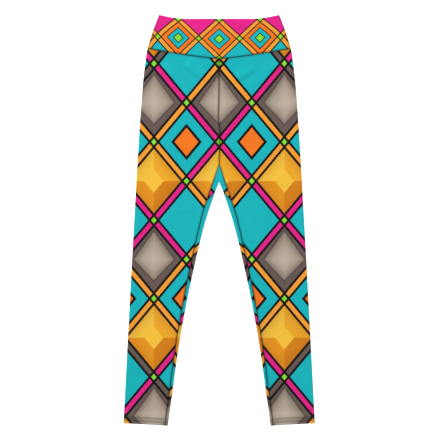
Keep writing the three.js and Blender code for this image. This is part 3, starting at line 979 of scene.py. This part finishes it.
def trellis_group():
    """The print's plan: bars that cross on the slant, a knot where they cross, and diamonds between them.
    Width and Height are a diamond's sizes, and Bar and Line are shares of the distance between two bars."""
    group, given, end = new_group(
        "trellis",
        {"Place": "Vector", "Width": "Float", "Height": "Float", "Bar": "Float", "Line": "Float"},
        {name: "Float" for name in ("Bars", "Turn", "Knots", "Lines", "Row", "Up", "Right", "Depth")},
    )
    maths = partial(math_node, group)
    place = add_node(group, "ShaderNodeSeparateXYZ", {"Vector": given["Place"]}).outputs
    across = maths("DIVIDE", place["X"], given["Width"])
    along = maths("DIVIDE", place["Y"], given["Height"])
    half_bar = maths("MULTIPLY", given["Bar"], 0.5)
    half_line = maths("MULTIPLY", given["Line"], 0.5)
    half_field = maths("SUBTRACT", 0.5, half_bar)
    in_bar, on_line, turn, cell, field = [], [], [], [], []
    for operation in ("ADD", "SUBTRACT"):
        slant = maths(operation, across, along)
        nearest = maths("ROUND", slant)
        off = maths("ABSOLUTE", maths("SUBTRACT", slant, nearest))
        edge = maths("ABSOLUTE", maths("SUBTRACT", off, half_bar))
        in_bar.append(maths("LESS_THAN", off, half_bar))
        on_line.append(maths("LESS_THAN", edge, half_line))
        turn.append(maths("MODULO", maths("ABSOLUTE", nearest), PRINT_CYCLE))
        cell.append(maths("FLOOR", slant))
        middle = maths("SUBTRACT", maths("FRACT", slant), 0.5)
        field.append(maths("DIVIDE", middle, half_field))
    turns = [maths("MULTIPLY", *pair) for pair in zip(in_bar, turn)]
    sizes = [maths("ABSOLUTE", side) for side in field]
    fill(group, end, {
        "Bars": maths("MAXIMUM", *in_bar),
        "Turn": maths("MAXIMUM", *turns),
        "Knots": maths("MULTIPLY", *in_bar),
        "Lines": maths("MAXIMUM", *on_line),
        "Row": maths("FLOORED_MODULO", maths("SUBTRACT", *cell), PRINT_CYCLE),
        "Up": maths("SUBTRACT", *field),
        "Right": maths("ADD", *field),
        "Depth": maths("MAXIMUM", *sizes),
    })
    return group


def jersey_group():
    """Fine knit: rows of small V stitches, with a slight unevenness of tone and of height, and a shade
    painted into the colour near seams and the hem's stitch rows. Place is in millimetres on the flat cut."""
    group, given, end = new_group(
        "jersey",
        {"Place": "Vector", "Object place": "Vector", "Colour": "Color", "To seam": "Float"},
        {"Colour": "Color", "Roughness": "Float", "Height": "Float"},
    )
    maths = partial(math_node, group)
    place = add_node(group, "ShaderNodeSeparateXYZ", {"Vector": given["Place"]}).outputs
    wale = maths("DIVIDE", place["X"], WALE)
    course = maths("DIVIDE", place["Y"], COURSE)
    slant = maths("PINGPONG", wale, 0.5)
    lean = maths("MULTIPLY_ADD", slant, STITCH_LEAN, course)
    loops = maths("SINE", maths("MULTIPLY", lean, 2 * math.pi))
    wave = maths("SINE", maths("MULTIPLY", wale, math.pi))
    knit = maths("MULTIPLY_ADD", loops, LOOP_SHARE, maths("ABSOLUTE", wave))
    broad = noise(group, given["Object place"], *BROAD_NOISE)
    fine = noise(group, given["Object place"], *FINE_NOISE)
    broad_part = maths("MULTIPLY", broad, BROAD_SHARE)
    uneven = maths("MULTIPLY_ADD", fine, 1 - BROAD_SHARE, broad_part)
    tone = maths("MULTIPLY_ADD", maths("SUBTRACT", uneven, 0.5), TONE_RANGE, 1.0)
    # Painted shade: the colour darkens close to a seam, where the cloth dips into the groove
    for darkest, width in PAINTED_SEAM_SHADES:
        inputs = {"Value": given["To seam"], "From Max": width, "To Min": darkest}
        shade = add_node(group, "ShaderNodeMapRange", inputs, interpolation_type="SMOOTHSTEP")
        tone = maths("MULTIPLY", tone, shade.outputs["Result"])
    coloured = add_node(group, "ShaderNodeHueSaturation", {"Color": given["Colour"], "Value": tone})
    rough = maths("MULTIPLY_ADD", fine, ROUGH_RANGE, ROUGH_LEAST)
    slack = maths("MULTIPLY", broad, SLACK_HEIGHT)
    height = maths("MULTIPLY_ADD", knit, KNIT_HEIGHT, slack)
    fill(group, end, {"Colour": coloured.outputs["Color"], "Roughness": rough, "Height": height})
    return group


def cut_place(tree):
    """Place on the flat cut in millimetres."""
    flat = add_node(tree, "ShaderNodeUVMap", uv_map=CUT_MAP).outputs["UV"]
    scaled = add_node(tree, "ShaderNodeVectorMath", {0: flat, "Scale": 1 / MM}, operation="SCALE")
    return scaled.outputs["Vector"]


def cloth_material(name, paint):
    """Jersey whose colour is worked out by paint(tree, place)."""
    material, tree, shader = new_material(name)
    place = cut_place(tree)
    near = add_node(tree, "ShaderNodeAttribute", attribute_name=SEAM_ATTRIBUTE).outputs["Fac"]
    solid_place = add_node(tree, "ShaderNodeTexCoord").outputs["Object"]
    given = {"Place": place, "Object place": solid_place, "Colour": paint(tree, place), "To seam": near}
    surface = place_group(tree, JERSEY, **given)
    bump = add_node(tree, "ShaderNodeBump", {"Height": surface["Height"], "Distance": MM, "Strength": 1.0})
    fill(tree, shader, {
        "Base Color": surface["Colour"],
        "Roughness": surface["Roughness"],
        "Normal": bump.outputs["Normal"],
        "Specular IOR Level": CLOTH_SPECULAR,
        "Sheen Weight": CLOTH_SHEEN,
        "Sheen Roughness": CLOTH_SHEEN_ROUGHNESS,
    })
    return material


def trellis(tree, place, width, height, bar, line):
    """The trellis group with its sizes in millimetres."""
    apart = width * height / math.hypot(width, height)
    sizes = {"Width": width, "Height": height, "Bar": bar / apart, "Line": line / apart}
    return place_group(tree, TRELLIS, Place=place, **sizes)


def in_turn(tree, number, colours):
    """The colour that a whole number picks from a list."""
    picked = colours[0]
    for index, colour in enumerate(colours[1:], 1):
        picked = mix_node(tree, math_node(tree, "COMPARE", number, index, 0.5), picked, colour)
    return picked


def above(tree, value, level):
    return math_node(tree, "GREATER_THAN", value, level)


def below(tree, value, level):
    return math_node(tree, "LESS_THAN", value, level)


def gold_stud(tree, plan):
    """A raised stud as printers draw it: four facets that catch the light differently and darken towards the
    rim, round a flat top."""
    right = above(tree, plan["Right"], 0)
    upper = mix_node(tree, right, linear(GOLD_LIGHT), linear(GOLD_MIDDLE))
    lower = mix_node(tree, right, linear(GOLD_DEEP), linear(GOLD_DARK))
    facets = mix_node(tree, above(tree, plan["Up"], 0), lower, upper)
    rim = math_node(tree, "MULTIPLY", math_node(tree, "POWER", plan["Depth"], 3), STUD_RIM_SHADE)
    shaded = mix_node(tree, rim, facets, linear(GOLD_RIM))
    return mix_node(tree, below(tree, plan["Depth"], STUD_TOP), shaded, linear(GOLD_TOP))


def taupe_stone(tree, plan):
    """A soft pale stone, lighter on its upper side, on dark taupe."""
    lit = math_node(tree, "MULTIPLY_ADD", plan["Up"], -TAUPE_LIFT, plan["Depth"])
    shade = add_node(tree, "ShaderNodeValToRGB", {"Fac": lit})
    ramp = shade.color_ramp
    while len(ramp.elements) < len(TAUPE_RINGS):
        ramp.elements.new(0.5)
    for element, (depth, colour) in zip(ramp.elements, TAUPE_RINGS):
        element.position = depth
        element.color = linear(colour)
    return shade.outputs["Color"]


def outlined(tree, plan, colour, inside, size, line):
    """A diamond of the colour inside, with a black outline, in the middle of a field."""
    edge = mix_node(tree, below(tree, plan["Depth"], size + line), colour, linear(BLACK))
    return mix_node(tree, below(tree, plan["Depth"], size), edge, inside)


def print_colour(tree, plan, fields, bar_colours):
    """Rows of fields and bars, which take their colours in turn, under the knots and outlines."""
    bars = in_turn(tree, plan["Turn"], [linear(colour) for colour in bar_colours])
    colour = mix_node(tree, plan["Bars"], in_turn(tree, plan["Row"], fields), bars)
    colour = mix_node(tree, plan["Knots"], colour, linear(LIME))
    return mix_node(tree, plan["Lines"], colour, linear(BLACK))


def leg_print(tree, place):
    """Rows of fields from the waist down: teal, taupe, teal with an orange diamond, and gold."""
    plan = trellis(tree, place, *LEG_TRELLIS)
    orange = outlined(tree, plan, linear(TEAL), linear(ORANGE), INNER_DIAMOND, INNER_LINE)
    fields = (linear(TEAL), gold_stud(tree, plan), orange, taupe_stone(tree, plan))
    return print_colour(tree, plan, fields, (AMBER, MAGENTA, AMBER, TAUPE_DARK))


def gusset_print(tree, place):
    """The legs' print, moved so that a teal field lies at the gusset's front tip."""
    moved = add_node(tree, "ShaderNodeVectorMath", {0: place, 1: (*GUSSET_FIELD, 0)}, operation="SUBTRACT")
    return leg_print(tree, moved.outputs["Vector"])


def band_print(tree, place):
    """The same plan in small: a row of orange fields with teal and lime diamonds, between amber bars, with
    magenta above it and teal below."""
    plan = trellis(tree, place, *BAND_TRELLIS)
    orange = outlined(tree, plan, linear(ORANGE), linear(TEAL), BAND_TEAL, BAND_LINE)
    orange = outlined(tree, plan, orange, linear(LIME), BAND_LIME, BAND_LINE)
    return print_colour(tree, plan, (linear(TEAL), orange, linear(MAGENTA)), (AMBER,))


def unprinted(tree, place):
    return linear(UNPRINTED)


def thread_material(name, colour):
    """Spun thread with a fine twist."""
    material, tree, shader = new_material(name)
    solid_place = add_node(tree, "ShaderNodeTexCoord").outputs["Object"]
    twist = noise(tree, solid_place, *THREAD_GRAIN)
    tone = math_node(tree, "MULTIPLY_ADD", twist, *THREAD_TONE)
    shaded = add_node(tree, "ShaderNodeHueSaturation", {"Color": linear(colour), "Value": tone})
    bump = add_node(tree, "ShaderNodeBump", {"Height": twist, "Distance": THREAD_BUMP * MM})
    fill(tree, shader, {
        "Base Color": shaded.outputs["Color"],
        "Roughness": THREAD_ROUGHNESS,
        "Normal": bump.outputs["Normal"],
        "Specular IOR Level": CLOTH_SPECULAR,
    })
    return material


def make_camera():
    """Straight above the garment, where the photograph's middle falls."""
    half = PHOTO_SIDE / 2
    x = (half - ORIGIN_PIXEL[0]) * PIXEL
    y = (ORIGIN_PIXEL[1] - half) * PIXEL
    bpy.ops.object.camera_add(location=(x * MM, y * MM, CAMERA_HEIGHT * MM), rotation=(0, 0, 0))
    camera = bpy.context.object
    camera.data.sensor_width = SENSOR_WIDTH
    camera.data.lens = SENSOR_WIDTH * CAMERA_HEIGHT / (PHOTO_SIDE * PIXEL)
    bpy.context.scene.camera = camera


def make_studio():
    """A plain pale floor, lit a little as a light table is, under soft light from all round and above."""
    bpy.ops.mesh.primitive_plane_add(size=FLOOR_SIZE * MM, location=(0, 0, FLOOR_HEIGHT * MM))
    floor = bpy.context.object
    floor.name = floor.data.name = "floor"
    material, tree, shader = new_material("floor")
    fill(tree, shader, {
        "Base Color": linear(FLOOR, 1),
        "Roughness": FLOOR_ROUGHNESS,
        "Specular IOR Level": FLOOR_SPECULAR,
        "Emission Color": WHITE,
        "Emission Strength": FLOOR_GLOW,
    })
    floor.data.materials.append(material)
    world = bpy.data.worlds.new("studio")
    world.use_nodes = True
    background = world.node_tree.nodes["Background"]
    fill(world.node_tree, background, {"Color": WHITE, "Strength": WORLD_LIGHT})
    bpy.context.scene.world = world
    for name, place, size, power in LAMPS:
        lamp = bpy.data.lights.new(name, "AREA")
        lamp.size = size * MM
        lamp.energy = power
        holder = bpy.data.objects.new(name, lamp)
        bpy.context.collection.objects.link(holder)
        holder.location = [value * MM for value in place]
        holder.rotation_euler = (-holder.location).to_track_quat("-Z", "Y").to_euler()
    bpy.context.scene.view_settings.view_transform = "Standard"


def edge_path(sheet, column, low, high):
    """A seam along a sheet's first or last column, between two heights."""
    rows = len(sheet.level)
    places, normals = sheet.points[:rows, column], sheet.normals[:rows, column]
    keep = (places[:, 1] > low) & (places[:, 1] < high)
    return places[keep], normals[keep]


def hem_path(sheet, height):
    """A line round a leg at a height above its slanting hem."""
    rows = len(sheet.level)
    places, normals = sheet.points[:rows], sheet.normals[:rows]
    above_hem = places[:, :, 1] - hem_line(places[:, :, 0])
    line, outward = [], []
    for column in range(places.shape[1]):
        order = np.argsort(above_hem[:, column])
        heights = above_hem[order, column]
        line.append(read_at(heights, places[order, column], height))
        outward.append(read_at(heights, normals[order, column], height))
    return np.array(line), np.array(outward)


def make_cloth():
    """The five pieces of the garment, each in the place of its solid."""
    inside = cloth_material("jersey_inside", unprinted)
    leg_cloth = cloth_material("jersey_leg_print", leg_print)
    band_cloth = cloth_material("jersey_band_print", band_print)
    gusset_cloth = cloth_material("jersey_gusset_print", gusset_print)
    left, right = leg_surface(1), leg_surface(-1)
    front, back = band_surface(True), band_surface(False)
    gusset = gusset_surface()
    made = {
        "leg_left": (left, True, [leg_cloth, inside], "leg_cloth", LEG_CUT),
        "leg_right": (right, False, [leg_cloth, inside], "leg_cloth", LEG_CUT),
        "gusset": (gusset, False, [gusset_cloth, inside], "gusset_cloth", GUSSET_CUT),
        "waistband_front": (front, False, [band_cloth], "band_cloth", BAND_FRONT_CUT),
        "waistband_back": (back, True, [band_cloth], "band_cloth", BAND_BACK_CUT),
    }
    for node, (sheet, is_turned, materials, slot, cut) in made.items():
        piece = cloth_piece(node + "_cloth", sheet, is_turned, materials)
        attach(piece, "root")
        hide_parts(node)
    return left, right, front


def make_sewing(left, right, front):
    """Threads across the seams, and the two rows of stitches round each hem."""
    seam_thread = thread_material("seam_thread", THREAD)
    hem_thread = thread_material("hem_thread", HEM_THREAD)
    lowest, highest = HEM_INNER, WAIST_CORNER
    seams = {
        "thread_centre_front": [edge_path(left, 0, FRONT_TIP, highest)],
        "thread_centre_back": [edge_path(left, -1, BACK_TIP, highest)],
        "thread_waist": [(leg.points[0], leg.normals[0]) for leg in (left, right)],
        "thread_gusset": [
            *(edge_path(leg, 0, SIDE_TIP, FRONT_TIP) for leg in (left, right)),
            *(edge_path(leg, -1, SIDE_TIP, BACK_TIP) for leg in (left, right)),
        ],
        "thread_inseam_left": [edge_path(left, 0, lowest, SIDE_TIP)],
        "thread_inseam_right": [edge_path(right, 0, lowest, SIDE_TIP)],
        "thread_band_sides": [edge_path(front, 0, lowest, highest), edge_path(front, -1, lowest, highest)],
    }
    made = [
        stitches(name, paths, *SEAM_STITCH, True, seam_thread)
        for name, paths in seams.items()
    ]
    for name, leg in (("hem_stitches_left", left), ("hem_stitches_right", right)):
        rows = [hem_path(leg, height) for height in HEM_ROWS]
        made.append(stitches(name, rows, *HEM_STITCH, False, hem_thread))
    for piece in made:
        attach(piece, "root")


make_camera()
make_studio()
TRELLIS = trellis_group()
JERSEY = jersey_group()
make_sewing(*make_cloth())
